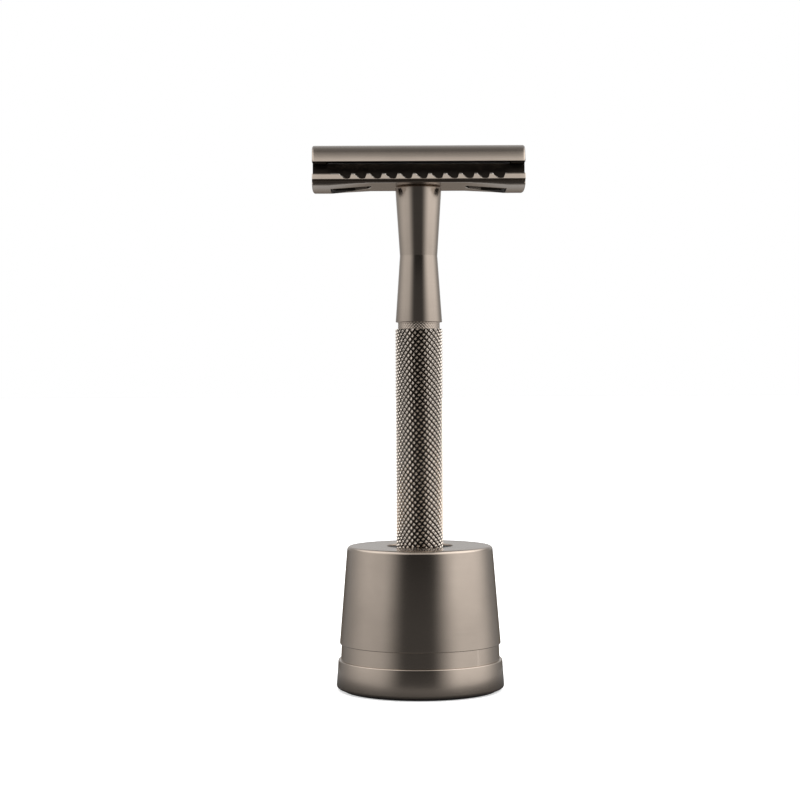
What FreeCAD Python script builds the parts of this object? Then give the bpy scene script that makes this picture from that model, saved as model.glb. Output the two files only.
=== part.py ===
import FreeCAD, Part
import os
import Sketcher

# Double-edge safety razor standing in its own weighted stand.
# Frame: origin at the centre of the stand's foot, +Z up, +X along the head, -Y the front.
# The razor has three working pieces (cap, guard plate, handle) and a clamped blade.

V = FreeCAD.Vector
os.makedirs("parts", exist_ok=True)
doc = FreeCAD.newDocument("safety_razor")

# ---------------------------------------------------------------- dimensions
sheet = doc.addObject("Spreadsheet::Sheet", "dims")
sheet.Label = "dims"
ROWS = [
    # stand
    ("foot_rad", 16.2, "foot pad radius"),
    ("foot_thick", 1.2, "foot pad thickness"),
    ("base_low", 0.5, "underside of the lower ring's rim"),
    ("base_rad_low", 17.52, "lower ring radius at the bottom"),
    ("base_rad_top", 17.12, "lower ring radius at its ledge"),
    ("base_edge", 1.2, "lower ring bottom edge rounding"),
    ("ledge_z", 6.4, "ledge above the lower ring"),
    ("band_rad_low", 16.57, "recessed band radius at the ledge"),
    ("band_rad_top", 16.42, "recessed band radius under the body"),
    ("body_z", 9.7, "underside of the stand body"),
    ("spigot_rad", 14.5, "spigot that centres the body"),
    ("spigot_top", 12.9, "top of the spigot"),
    ("body_rad_low", 16.8, "stand body radius at its bottom"),
    ("body_rad_top", 15.15, "stand body radius at its top"),
    ("body_top", 30.0, "top face of the stand"),
    ("body_edge", 0.8, "rounding of the top edge"),
    ("bore_rad", 6.85, "bore in the stand body"),
    ("counter_rad", 14.52, "counterbore for the spigot"),
    ("counter_top", 13.0, "roof of the counterbore"),
    ("cavity_rad", 13.2, "bore of the lower ring"),
    ("plate_rad", 14.9, "bottom plate radius"),
    ("plate_low", 1.2, "bottom plate underside"),
    ("plate_top", 2.2, "bottom plate top"),
    ("weight_rad", 13.1, "ballast radius"),
    ("weight_top", 12.85, "ballast top"),
    ("weight_bore_z", 6.2, "floor of the ballast's blind bore"),
    ("liner_rad", 6.8, "socket liner outer radius"),
    ("liner_in", 5.35, "socket liner inner radius"),
    ("liner_low", 6.35, "socket liner underside"),
    ("liner_floor", 7.35, "socket liner floor"),
    ("liner_top", 29.6, "socket liner rim"),
    ("pad_top", 7.97, "top of the felt pad in the socket"),
    ("screw_pitch_rad", 10.0, "radius of the screw circle"),
    ("screw_rad", 1.45, "screw shank radius"),
    ("screw_head_rad", 2.6, "screw head radius"),
    ("screw_tip", 17.0, "screw tip height"),
    # handle, heights from the handle's own foot
    ("handle_z", 8.0, "handle foot above the ground"),
    ("cap_len", 5.0, "visible length of the end cap"),
    ("cap_rad", 4.9, "end cap radius"),
    ("grip_rad", 5.015, "grip radius over the knurl"),
    ("grip_bore", 3.6, "grip bore radius"),
    ("grip_top", 67.2, "top of the grip"),
    ("collar_rad", 4.38, "radius of the ring in the groove"),
    ("collar_top", 68.6, "top of the ring in the groove"),
    ("neck_low_rad", 4.85, "neck radius at the bottom"),
    ("waist_rad", 3.91, "neck radius at the waist"),
    ("waist_z", 82.5, "height of the waist"),
    ("neck_top_rad", 4.82, "neck radius at the top"),
    ("neck_top", 96.9, "top face of the neck"),
    ("rod_rad", 3.5, "core rod radius inside the grip"),
    ("rod_thread", 2.0, "core rod thread radius"),
    ("bush_rad", 3.2, "threaded bush outer radius"),
    ("bush_bore", 2.46, "threaded bush bore radius"),
    ("bush_low", 88.9, "threaded bush bottom"),
    ("bush_top", 96.7, "threaded bush top"),
    # head, heights from the underside of the guard at its centre
    ("head_z", 104.95, "guard seat above the ground"),
    ("guard_len", 44.04, "guard length at its middle"),
    ("deck_len", 43.2, "length of the blade platform"),
    ("end_corner", 21.69, "half length of the guard at 13 from its middle line"),
    ("cap_corner", 21.64, "half length of the cap at 13 from its middle line"),
    ("heel_z", -0.42, "bottom of the guard's front wall at its ends"),
    ("belly_z", -1.1, "lowest line of the guard's ends"),
    ("arch_half", 18.2, "half length of the hollow part of the underside"),
    ("arch_in", 9.6, "half length of the flat part of the underside"),
    ("side_y", 9.45, "half width under the bars"),
    ("side_z", 0.06, "floor of the slot under each bar"),
    ("slot_y", 8.4, "bottom of the slot under each bar"),
    ("bar_low", 0.5, "underside of the bars"),
    ("bar_high", 1.7, "top of the bars"),
    ("bar_out", 11.95, "bar front at its foot"),
    ("bar_lean", 11.55, "bar front at its top"),
    ("bar_in", 10.85, "inner face of the bar"),
    ("gully_z", 0.85, "floor of the lather channel"),
    ("deck_y", 8.6, "platform wall at its foot"),
    ("ridge_y", 8.1, "outer edge of the blade ridge"),
    ("tooth_pitch", 3.13, "scallop pitch"),
    ("pin_x", 12.4, "alignment pin distance from the centre"),
    ("pin_rad", 1.7, "alignment pin radius"),
    ("pin_hole", 1.85, "pin hole radius in the guard"),
    ("pin_tip", 0.9, "pin tip height"),
    ("stud_rad", 2.4, "stud radius over the thread"),
    ("stud_hole", 2.6, "stud hole radius in the guard"),
    ("stud_tip", -7.25, "stud tip height"),
    ("blade_len", 42.8, "blade length over its tabs"),
    ("edge_len", 37.1, "blade cutting edge length"),
    ("tab_half", 6.8, "half width of the blade's tabs"),
    ("blade_half", 10.7, "half width of the bent blade"),
    ("blade_thick", 0.1, "blade thickness"),
    ("blade_mid", 5.55, "height of the bent blade's crown"),
    ("top_len", 44.1, "cap length at its middle"),
    ("lip_y", 10.2, "cap lip half width"),
    ("lip_z", 4.2, "cap lip height"),
    ("crease_y", 8.0, "half width of the cap's crease"),
    ("crease_z", 7.05, "height of the cap's crease"),
    ("crown_y", 2.5, "half width of the cap's flat crown"),
    ("crown_z", 8.27, "height of the cap's crown"),
]
for i, (alias, value, note) in enumerate(ROWS, start=1):
    sheet.set(f"A{i}", note)
    sheet.set(f"B{i}", str(value))
    sheet.setAlias(f"B{i}", alias)
doc.recompute()
D = {alias: value for alias, value, _ in ROWS}


def ev(expr):
    """The number that an expression in the sheet's words stands for."""
    if isinstance(expr, (int, float)):
        return float(expr)
    total, text = 0.0, expr.replace("-", "+-").replace("*+-", "*-")
    for term in [p.strip() for p in text.split("+") if p.strip()]:
        sign = 1.0
        if term.startswith("-"):
            sign, term = -1.0, term[1:].strip()
        product = sign
        for k, factor in enumerate(term.split("*")):
            for j, piece in enumerate(factor.split("/")):
                piece = piece.strip()
                number = D[piece] if piece in D else float(piece)
                product = product * number if j == 0 else product / number
        total += product
    return total


def bound(expr):
    """The same expression with the sheet's name before each alias."""
    if isinstance(expr, (int, float)):
        return repr(float(expr))
    out, word = "", ""
    for ch in expr + " ":
        if ch.isalnum() or ch in "_.":
            word += ch
        else:
            out += ("dims." + word) if word in D else word
            word = ""
            out += ch
    return out.strip()


PARTS = []


def new_body(label, lift=None):
    body = doc.addObject("PartDesign::Body", label)
    body.Label = label
    if lift:
        body.setExpression("Placement.Base.z", bound(lift))
    PARTS.append(body)
    return body


def new_sketch(body, role, name, offset=None):
    sk = body.newObject("Sketcher::SketchObject", name)
    plane = [f for f in body.Origin.OriginFeatures if f.Role == role][0]
    sk.AttachmentSupport = [(plane, "")]
    sk.MapMode = "FlatFace"
    if offset is not None:
        sk.setExpression("AttachmentOffset.Base.z", bound(offset))
    return sk


def loop(sk, pts):
    """A closed loop. A point is (x, y) or (x, y, xm, ym) where the stretch to the next point is an arc through xm, ym."""
    start = sk.GeometryCount
    n = len(pts)
    xy = [(ev(p[0]), ev(p[1])) for p in pts]
    ends = []
    for k, p in enumerate(pts):
        a, b = V(*xy[k], 0), V(*xy[(k + 1) % n], 0)
        if len(p) == 4:
            m = V(ev(p[2]), ev(p[3]), 0)
            # a sketch keeps its arcs anticlockwise, so a clockwise one is drawn from its far end
            anti = (m - a).cross(b - m).z > 0
            sk.addGeometry(Part.Arc(a, m, b) if anti else Part.Arc(b, m, a), False)
            ends.append((1, 2) if anti else (2, 1))
        else:
            sk.addGeometry(Part.LineSegment(a, b), False)
            ends.append((1, 2))
    for k in range(n):
        sk.addConstraint(Sketcher.Constraint("Coincident", start + k, ends[k][1], start + (k + 1) % n, ends[(k + 1) % n][0]))
    for k, p in enumerate(pts):
        for axis, word in ((0, "DistanceX"), (1, "DistanceY")):
            c = sk.addConstraint(Sketcher.Constraint(word, -1, 1, start + k, ends[k][0], xy[k][axis]))
            if isinstance(p[axis], str):
                sk.setExpression(f"Constraints[{c}]", bound(p[axis]))
        if len(p) == 4:
            sk.addConstraint(Sketcher.Constraint("Radius", start + k, sk.Geometry[start + k].Radius))
    return sk


def circle(sk, x, y, rad):
    g = sk.addGeometry(Part.Circle(V(ev(x), ev(y), 0), V(0, 0, 1), ev(rad)), False)
    c = sk.addConstraint(Sketcher.Constraint("Radius", g, ev(rad)))
    if isinstance(rad, str):
        sk.setExpression(f"Constraints[{c}]", bound(rad))
    for val, word in ((x, "DistanceX"), (y, "DistanceY")):
        c = sk.addConstraint(Sketcher.Constraint(word, -1, 1, g, 3, ev(val)))
        if isinstance(val, str):
            sk.setExpression(f"Constraints[{c}]", bound(val))


def revolve(body, pts, name="turning"):
    sk = new_sketch(body, "XZ_Plane", name + "_profile")
    loop(sk, pts)
    rev = body.newObject("PartDesign::Revolution", name)
    rev.Profile = sk
    rev.ReferenceAxis = (sk, ["V_Axis"])
    rev.Angle = 360
    doc.recompute()
    return rev


def pad_x(body, pts, length, name):
    """A section in the YZ plane carried along X, half each way."""
    sk = new_sketch(body, "YZ_Plane", name + "_section")
    loop(sk, pts)
    pad = body.newObject("PartDesign::Pad", name)
    pad.Profile = sk
    pad.Midplane = True
    pad.setExpression("Length", bound(length))
    doc.recompute()
    return pad


def pocket(body, sk, length, name, reverse=False, midplane=False):
    before = body.Shape.Volume
    cut = body.newObject("PartDesign::Pocket", name)
    cut.Profile = sk
    if midplane:
        cut.Midplane = True
    cut.Reversed = reverse
    cut.setExpression("Length", bound(length))
    doc.recompute()
    lost = before - body.Shape.Volume
    if not lost > 1e-4:
        raise RuntimeError(f"{body.Label}/{name} cuts nothing")
    return cut


def bow_ends(body, middle, corner):
    """Both ends cut to a flat arc that is longest at the middle line."""
    for side, sign in (("left", "-"), ("right", "")):
        far = 23 if sign == "" else -23
        sk = new_sketch(body, "XY_Plane", f"end_{side}_line", -3)
        loop(sk, [(far, -13), (sign + corner, -13, ev(sign + middle + "/2"), 0), (sign + corner, 13), (far, 13)])
        pocket(body, sk, 13, f"end_{side}", reverse=True)


def pick(feature, test):
    return [f"Edge{i}" for i, e in enumerate(feature.Shape.Edges, start=1) if test(e)]


def round_edges(body, test, size, name, chamfer=False):
    base = body.Tip
    kind = "PartDesign::Chamfer" if chamfer else "PartDesign::Fillet"
    names = pick(base, test)
    if not names:
        raise RuntimeError(f"{body.Label}/{name} finds no edge")
    f = body.newObject(kind, name)
    f.Base = (base, names)
    if chamfer:
        f.Size = size
    else:
        f.Radius = size
    doc.recompute()
    if "Invalid" in f.State or f.Shape.isNull() or not f.Shape.isValid():
        raise RuntimeError(f"{body.Label}/{name} failed on {len(names)} edges")
    return f


def ring_at(z, rad, tol=0.02):
    """Chooses the circular edges of a turned piece at that height and radius."""

    def test(e):
        c = e.Curve
        return isinstance(c, Part.Circle) and abs(c.Center.z - z) < tol and abs(c.Radius - rad) < tol

    return test


# ---------------------------------------------------------------- the stand
# Rubber disc under everything: the stand rests on it.
foot = new_body("foot_pad")
revolve(foot, [(0, 0), ("foot_rad-0.3", 0), ("foot_rad", 0.3), ("foot_rad", "foot_thick"), (0, "foot_thick")])

# Lower ring: rim, ledge, recessed band and the spigot that centres the body on it.
base = new_body("stand_base")
revolve(
    base,
    [
        ("foot_rad+0.05", "base_low"),
        ("base_rad_low-base_edge", "base_low", "base_rad_low-0.2929*base_edge", "base_low+0.2929*base_edge"),
        ("base_rad_low", "base_low+base_edge"),
        ("base_rad_top+0.01", "ledge_z-0.25"),
        ("base_rad_top-0.25", "ledge_z"),
        ("band_rad_low", "ledge_z"),
        ("band_rad_top", "body_z"),
        ("spigot_rad", "body_z"),
        ("spigot_rad", "spigot_top"),
        ("cavity_rad", "spigot_top"),
        ("cavity_rad", "plate_top"),
        ("plate_rad+0.1", "plate_top"),
        ("plate_rad+0.1", "plate_low"),
        ("foot_rad+0.05", "plate_low"),
    ],
)

# Upper body: a cone turned from bar, bored for the liner and counterbored for the spigot.
sbody = new_body("stand_body")
revolve(
    sbody,
    [
        ("bore_rad", "counter_top"),
        ("counter_rad", "counter_top"),
        ("counter_rad", "body_z"),
        ("body_rad_low-0.15", "body_z"),
        ("body_rad_low", "body_z+0.15"),
        ("body_rad_top", "body_top"),
        ("bore_rad+0.3", "body_top"),
        ("bore_rad", "body_top-0.3"),
    ],
)
round_edges(sbody, ring_at(D["body_top"], D["body_rad_top"]), D["body_edge"], "top_edge")
sk = new_sketch(sbody, "XY_Plane", "screw_hole_circle", "counter_top")
circle(sk, "screw_pitch_rad", 0, "screw_rad+0.05")
hole = pocket(sbody, sk, "screw_tip-counter_top+0.5", "screw_hole", reverse=True)
ring = sbody.newObject("PartDesign::PolarPattern", "screw_holes")
ring.Originals = [hole]
ring.Axis = (sk, ["N_Axis"])
ring.Angle = 360
ring.Occurrences = 3
sbody.Tip = ring
doc.recompute()

# Bottom plate that carries the screws, with countersunk holes.
plate = new_body("bottom_plate")
revolve(plate, [(0, "plate_low"), ("plate_rad", "plate_low"), ("plate_rad", "plate_top"), (0, "plate_top")])
sk = new_sketch(plate, "XY_Plane", "screw_hole_circle", "plate_low-0.1")
circle(sk, "screw_pitch_rad", 0, "screw_head_rad+0.1")
hole = pocket(plate, sk, "plate_top-plate_low+0.2", "screw_hole", reverse=True)
ring = plate.newObject("PartDesign::PolarPattern", "screw_holes")
ring.Originals = [hole]
ring.Axis = (sk, ["N_Axis"])
ring.Angle = 360
ring.Occurrences = 3
plate.Tip = ring
doc.recompute()

# Steel ballast with a blind bore for the liner and three screw passages.
weight = new_body("ballast_weight")
revolve(
    weight,
    [
        (0, "plate_top+0.02"),
        ("weight_rad", "plate_top+0.02"),
        ("weight_rad", "weight_top"),
        ("liner_rad+0.1", "weight_top"),
        ("liner_rad+0.1", "weight_bore_z"),
        (0, "weight_bore_z"),
    ],
)
sk = new_sketch(weight, "XY_Plane", "passage_circle", "plate_top-0.2")
circle(sk, "screw_pitch_rad", 0, "screw_rad+0.15")
hole = pocket(weight, sk, "weight_top-plate_top+1", "passage", reverse=True)
ring = weight.newObject("PartDesign::PolarPattern", "passages")
ring.Originals = [hole]
ring.Axis = (sk, ["N_Axis"])
ring.Angle = 360
ring.Occurrences = 3
weight.Tip = ring
doc.recompute()

# Three identical screws, heads flush in the plate and pulling on the ballast.
heads, shanks = [], []
for k in range(3):
    head = doc.addObject("Part::Cylinder", f"screw_head_{k}")
    head.setExpression("Radius", "dims.screw_head_rad")
    head.setExpression("Height", "dims.plate_top - dims.plate_low + 0")
    shank = doc.addObject("Part::Cylinder", f"screw_shank_{k}")
    shank.setExpression("Radius", "dims.screw_rad")
    shank.setExpression("Height", "dims.screw_tip - dims.plate_low - 0.4")
    slot = doc.addObject("Part::Prism", f"screw_hex_{k}")
    slot.Polygon = 6
    slot.Circumradius = 1.15
    slot.Height = 0.7
    for o, z in ((head, 0.0), (shank, 0.4), (slot, -0.05)):
        o.setExpression("Placement.Base.x", f"dims.screw_pitch_rad * cos({120 * k} deg)")
        o.setExpression("Placement.Base.y", f"dims.screw_pitch_rad * sin({120 * k} deg)")
        o.setExpression("Placement.Base.z", f"dims.plate_low + {z}")
    whole = doc.addObject("Part::Fuse", f"screw_blank_{k}")
    whole.Base, whole.Tool = head, shank
    done = doc.addObject("Part::Cut", f"screw_{k}")
    done.Base, done.Tool = whole, slot
    heads.append(done)
screws = doc.addObject("Part::Compound", "base_screws")
screws.Label = "base_screws"
screws.Links = heads
PARTS.append(screws)
doc.recompute()

# Plastic cup that lines the socket, and the felt pad that the handle stands on.
liner = new_body("socket_liner")
revolve(
    liner,
    [
        (0, "liner_low"),
        ("liner_rad", "liner_low"),
        ("liner_rad", "liner_top"),
        ("liner_in+0.35", "liner_top"),
        ("liner_in", "liner_top-0.35"),
        ("liner_in", "liner_floor"),
        (0, "liner_floor"),
    ],
)
pad = doc.addObject("Part::Cylinder", "socket_pad")
pad.Label = "socket_pad"
pad.setExpression("Radius", "dims.liner_in - 0.05")
pad.setExpression("Height", "dims.pad_top - dims.liner_floor")
pad.setExpression("Placement.Base.z", "dims.liner_floor")
PARTS.append(pad)

# ---------------------------------------------------------------- the handle
end = new_body("end_cap", "handle_z")
revolve(
    end,
    [
        (0, 0),
        ("cap_rad-0.9", 0, "cap_rad-0.26", 0.26),
        ("cap_rad", 0.9),
        ("cap_rad", "cap_len-0.15"),
        ("cap_rad-0.15", "cap_len"),
        ("grip_bore-0.05", "cap_len"),
        ("grip_bore-0.05", "cap_len+1.2"),
        ("grip_bore-0.62", "cap_len+1.2"),
        ("grip_bore-0.62", "cap_len+1.9"),
        ("grip_bore-0.05", "cap_len+1.9"),
        ("grip_bore-0.05", "cap_len+3.2"),
        ("rod_thread+0.05", "cap_len+3.2"),
        ("rod_thread+0.05", 1.8),
        (0, 1.8),
    ],
)
oring = doc.addObject("Part::Torus", "end_seal")
oring.Label = "end_seal"
oring.setExpression("Radius1", "dims.grip_bore - 0.32")
oring.Radius2 = 0.26
oring.setExpression("Placement.Base.z", "dims.handle_z + dims.cap_len + 1.55")
PARTS.append(oring)

rod = new_body("core_rod", "handle_z")
revolve(
    rod,
    [
        (0, 2.0),
        ("rod_thread", 2.0),
        ("rod_thread", "cap_len+3.3"),
        ("rod_rad", "cap_len+3.3"),
        ("rod_rad", "grip_top-0.4"),
        ("rod_thread", "grip_top-0.4"),
        ("rod_thread", "collar_top+6.2"),
        (0, "collar_top+6.2"),
    ],
)
grip = new_body("grip_sleeve", "handle_z")
revolve(
    grip,
    [
        ("grip_bore", "cap_len+0.02"),
        ("grip_rad-0.25", "cap_len+0.02"),
        ("grip_rad", "cap_len+0.27"),
        ("grip_rad", "grip_top-0.25"),
        ("grip_rad-0.25", "grip_top"),
        ("grip_bore", "grip_top"),
    ],
)
collar = new_body("collar_ring", "handle_z")
revolve(
    collar,
    [
        ("rod_thread+0.1", "grip_top+0.01"),
        ("collar_rad", "grip_top+0.01"),
        ("collar_rad", "collar_top"),
        ("rod_thread+0.1", "collar_top"),
    ],
)
neck = new_body("neck", "handle_z")
revolve(
    neck,
    [
        ("rod_thread+0.05", "collar_top+0.01"),
        ("neck_low_rad-0.2", "collar_top+0.01"),
        ("neck_low_rad", "collar_top+0.21"),
        ("waist_rad", "waist_z"),
        ("neck_top_rad", "neck_top-0.3"),
        ("neck_top_rad-0.25", "neck_top"),
        ("bush_rad+0.02", "neck_top"),
        ("bush_rad+0.02", "bush_low"),
        ("stud_rad+0.3", "bush_low"),
        ("stud_rad+0.3", "bush_low-0.8"),
        (0, "bush_low-1.6"),
        (0, "collar_top+7"),
        ("rod_thread+0.05", "collar_top+6.6"),
    ],
)
bush = new_body("threaded_bush", "handle_z")
revolve(
    bush,
    [
        ("bush_bore", "bush_low+0.02"),
        ("bush_rad", "bush_low+0.02"),
        ("bush_rad", "bush_top"),
        ("bush_bore+0.3", "bush_top"),
        ("bush_bore", "bush_top-0.3"),
    ],
)

# ---------------------------------------------------------------- the guard
# Section of the guard: flat underside, slot under the bar, scalloped bar, channel, blade platform.
guard = new_body("guard_plate", "head_z")
pad_x(
    guard,
    [
        ("-side_y", 0),
        ("side_y", 0),
        ("side_y", "side_z"),
        ("slot_y", "side_z"),
        ("slot_y", "bar_low"),
        ("bar_out", "bar_low"),
        ("bar_lean", "bar_high"),
        ("bar_in", "bar_high"),
        ("bar_in", "gully_z"),
        ("-bar_in", "gully_z"),
        ("-bar_in", "bar_high"),
        ("-bar_lean", "bar_high"),
        ("-bar_out", "bar_low"),
        ("-slot_y", "bar_low"),
        ("-slot_y", "side_z"),
        ("-side_y", "side_z"),
    ],
    "guard_len",
    "bars_and_web",
)


def belly(name, at, side_low, middle_low):
    """A slice of the rounded underside: straight walls and an arched bottom."""
    sk = new_sketch(guard, "YZ_Plane", name, at)
    loop(sk, [("-side_y", 0.03), ("-side_y", side_low, 0, middle_low), ("side_y", side_low), ("side_y", 0.03)])
    return sk


# The underside swells into a rounded belly towards each end.
for side, sign in (("left", "-"), ("right", "")):
    inner = belly(f"belly_{side}_inner_line", sign + "arch_in", -0.01, -0.02)
    outer = belly(f"belly_{side}_outer_line", sign + "arch_half", "heel_z", "belly_z")
    swell = guard.newObject("PartDesign::AdditiveLoft", f"belly_{side}")
    swell.Profile = inner
    swell.Sections = [outer]
    swell.Ruled = True
    doc.recompute()
    print("loft", side, swell.State, round(guard.Shape.Volume, 2), guard.Shape.isValid())
    end = belly(f"belly_{side}_end_line", sign + "arch_half", "heel_z", "belly_z")
    solid = guard.newObject("PartDesign::Pad", f"belly_{side}_end")
    solid.Profile = end
    solid.setExpression("Length", "dims.guard_len / 2 - dims.arch_half")
    solid.Reversed = sign == "-"
    doc.recompute()
    print("end", side, solid.State, round(guard.Shape.Volume, 2), guard.Shape.isValid())
pad_x(
    guard,
    [
        ("-deck_y", "gully_z-0.2"),
        ("deck_y", "gully_z-0.2"),
        ("ridge_y+0.1", 4.2),
        ("ridge_y", 4.34),
        ("ridge_y-0.7", 4.494),
        ("ridge_y-1.3", 4.25),
        (0, 4.9),
        ("1.3-ridge_y", 4.25),
        ("0.7-ridge_y", 4.494),
        ("-ridge_y", 4.34),
        ("-ridge_y-0.1", 4.2),
    ],
    "deck_len",
    "platform",
)
# A shallow trough in each belly, and a deeper pocket along its middle.
for side, far in (("left", "-arch_in-0.2"), ("right", "arch_half")):
    sk = new_sketch(guard, "YZ_Plane", f"trough_{side}_line", far)
    loop(sk, [(-5.6, -1.19, 0, 0.15), (5.6, -1.19)])
    pocket(guard, sk, "arch_half-arch_in-0.2", f"trough_{side}")
for side, sign in (("left", -1), ("right", 1)):
    sk = new_sketch(guard, "XY_Plane", f"lens_{side}_line", "belly_z-0.5")
    loop(
        sk,
        [
            (sign * 18.0, -3.0),
            (sign * 17.4, -3.6),
            (sign * 13.4, -3.6, sign * 11.4, -2.9),
            (sign * 9.9, -1.2),
            (sign * 9.9, 1.2, sign * 11.4, 2.9),
            (sign * 13.4, 3.6),
            (sign * 17.4, 3.6),
            (sign * 18.0, 3.0),
        ],
    )
    pocket(guard, sk, 2.5, f"lens_{side}", reverse=True)
# Centre passage for the stud and two passages for the pins.
sk = new_sketch(guard, "XY_Plane", "passage_circles", "belly_z-0.5")
circle(sk, 0, 0, "stud_hole")
circle(sk, "pin_x", 0, "pin_hole")
circle(sk, "-pin_x", 0, "pin_hole")
pocket(guard, sk, 8.6, "passages", reverse=True)
# Eleven scallops in each bar: a long slope, a round foot and a steep flank.
# The two bars are the same when the guard is turned half round.
pitch = D["tooth_pitch"]


def scallop(x0, sign):
    top, low = "bar_high+0.4", "bar_low+0.12"
    return [
        (sign * (x0 - 1.62) , top),
        (sign * (x0 - 0.36), "bar_low+0.27", sign * (x0 - 0.02), low),
        (sign * (x0 + 0.62), "bar_low+0.3"),
        (sign * (x0 + 0.98), "bar_high+0.0"),
        (sign * (x0 + 0.98), top),
    ]


for side, sign, role_offset in (("front", 1, "bar_out+0.5"), ("back", -1, "-bar_out-0.5")):
    # The XZ plane's normal is -Y, so a positive offset lies in front of the guard.
    sk = new_sketch(guard, "XZ_Plane", f"scallop_{side}_line", role_offset)
    loop(sk, scallop(-5 * pitch + 0.8, sign))
    cut = pocket(guard, sk, "bar_out-bar_in+0.8", f"scallop_{side}", reverse=(sign < 0))
    row = guard.newObject("PartDesign::LinearPattern", f"scallops_{side}")
    row.Originals = [cut]
    row.Direction = (sk, ["H_Axis"])
    row.Reversed = sign < 0
    row.setExpression("Length", "10 * dims.tooth_pitch")
    row.Occurrences = 11
    guard.Tip = row
    doc.recompute()
    print("row", side, guard.Shape.Volume, row.State)
bow_ends(guard, "guard_len", "end_corner")


# ---------------------------------------------------------------- the blade
# Thin strip bent in flat facets over the platform; its holes pass the stud and the pins.
STATIONS = [0.0, 2.7, 5.4, 8.1, 10.7]
crown = [-(y * y) / 62.0 for y in STATIONS]
blade = new_body("razor_blade", "head_z")
under = [(y, f"blade_mid-blade_thick/2{z:+.4f}") for y, z in zip(STATIONS, crown)]
over = [(y, f"blade_mid+blade_thick/2{z:+.4f}") for y, z in zip(STATIONS, crown)]
ring_pts = (
    [(-y, e) for y, e in reversed(under)]
    + under[1:-1]
    + [(10.66, f"blade_mid-blade_thick/2{crown[-1]:+.4f}"), (10.7, f"blade_mid{crown[-1]:+.4f}"), (10.66, f"blade_mid+blade_thick/2{crown[-1]:+.4f}")]
    + [(y, e) for y, e in reversed(over[1:-1])]
    + [(-y, e) for y, e in over]
)
ring_pts = ring_pts[:-1]
first = ring_pts.pop(0)
ring_pts = (
    [(-10.66, f"blade_mid+blade_thick/2{crown[-1]:+.4f}"), (-10.7, f"blade_mid{crown[-1]:+.4f}"), (-10.66, f"blade_mid-blade_thick/2{crown[-1]:+.4f}")]
    + ring_pts
)
pad_x(blade, ring_pts, "blade_len", "strip")
sk = new_sketch(blade, "XY_Plane", "corner_lines", "blade_mid-4")
for sx in (-1, 1):
    for sy in (-1, 1):
        loop(
            sk,
            [
                (f"{sx}*edge_len/2", sy * 12),
                (f"{sx}*edge_len/2", sy * 8.2),
                (f"{sx}*edge_len/2{-sx * 0.5:+}", sy * 7.8),
                (f"{sx}*edge_len/2{-sx * 0.5:+}", f"{sy}*tab_half"),
                (f"{sx}*blade_len/2{-sx * 0.6:+}", f"{sy}*tab_half"),
                (f"{sx}*blade_len/2", f"{sy}*tab_half{-sy * 0.6:+}"),
                (sx * 23, f"{sy}*tab_half{-sy * 0.6:+}"),
                (sx * 23, sy * 12),
            ],
        )
pocket(blade, sk, 6, "corners", reverse=True)
sk = new_sketch(blade, "XY_Plane", "slot_lines", "blade_mid-4")
loop(sk, [(-17.6, 0), (-17.0, -0.75), (17.0, -0.75), (17.6, 0), (17.0, 0.75), (-17.0, 0.75)])
pocket(blade, sk, 6, "slot", reverse=True)
sk = new_sketch(blade, "XY_Plane", "diamond_lines", "blade_mid-4")
for sx in (-1, 1):
    loop(sk, [(sx * 9.75, 0), (sx * 12.15, -2.85), (sx * 12.65, -2.85), (sx * 15.05, 0), (sx * 12.65, 2.85), (sx * 12.15, 2.85)])
pocket(blade, sk, 6, "diamonds", reverse=True)
sk = new_sketch(blade, "XY_Plane", "centre_lines", "blade_mid-4")
circle(sk, 0, 0, "stud_rad+0.25")
for sx in (-1, 1):
    loop(sk, [(sx * 7.4, -2.1, sx * 8.2, -2.8), (sx * 9.0, -2.1), (sx * 9.0, 2.1, sx * 8.2, 2.8), (sx * 7.4, 2.1)])
pocket(blade, sk, 6, "notches", reverse=True)

# ---------------------------------------------------------------- the cap
cap = new_body("top_cap", "head_z")
pad_x(
    cap,
    [
        ("lip_y", "lip_z", 9.38, 5.84),
        ("crease_y", "crease_z", 5.317, 7.961),
        ("crown_y", "crown_z"),
        ("-crown_y", "crown_z", -5.317, 7.961),
        ("-crease_y", "crease_z", -9.38, 5.84),
        ("-lip_y", "lip_z"),
        (-9.55, "lip_z"),
        (-8.9, 4.4),
        (-8.6, 4.8),
        (-5.4, 5.5),
        (0, 5.95),
        (5.4, 5.5),
        (8.6, 4.8),
        (8.9, 4.4),
        (9.55, "lip_z"),
    ],
    "top_len",
    "shell",
)
bow_ends(cap, "top_len", "cap_corner")
# Lands under the lip at both ends, clear of the blade's corners.
sk = new_sketch(cap, "YZ_Plane", "land_section", 18.9)
for sy in (-1, 1):
    loop(sk, [(sy * 8.85, 3.75), (sy * 9.9, 3.75), (sy * 9.9, "lip_z+0.2"), (sy * 8.85, "lip_z+0.35")])
p = cap.newObject("PartDesign::Pad", "lands_right")
p.Profile = sk
p.Length = 2.85
sk = new_sketch(cap, "YZ_Plane", "land_section_left", -18.9)
for sy in (-1, 1):
    loop(sk, [(sy * 8.85, 3.75), (sy * 9.9, 3.75), (sy * 9.9, "lip_z+0.2"), (sy * 8.85, "lip_z+0.35")])
p = cap.newObject("PartDesign::Pad", "lands_left")
p.Profile = sk
p.Length = 2.85
p.Reversed = True
doc.recompute()
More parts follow.
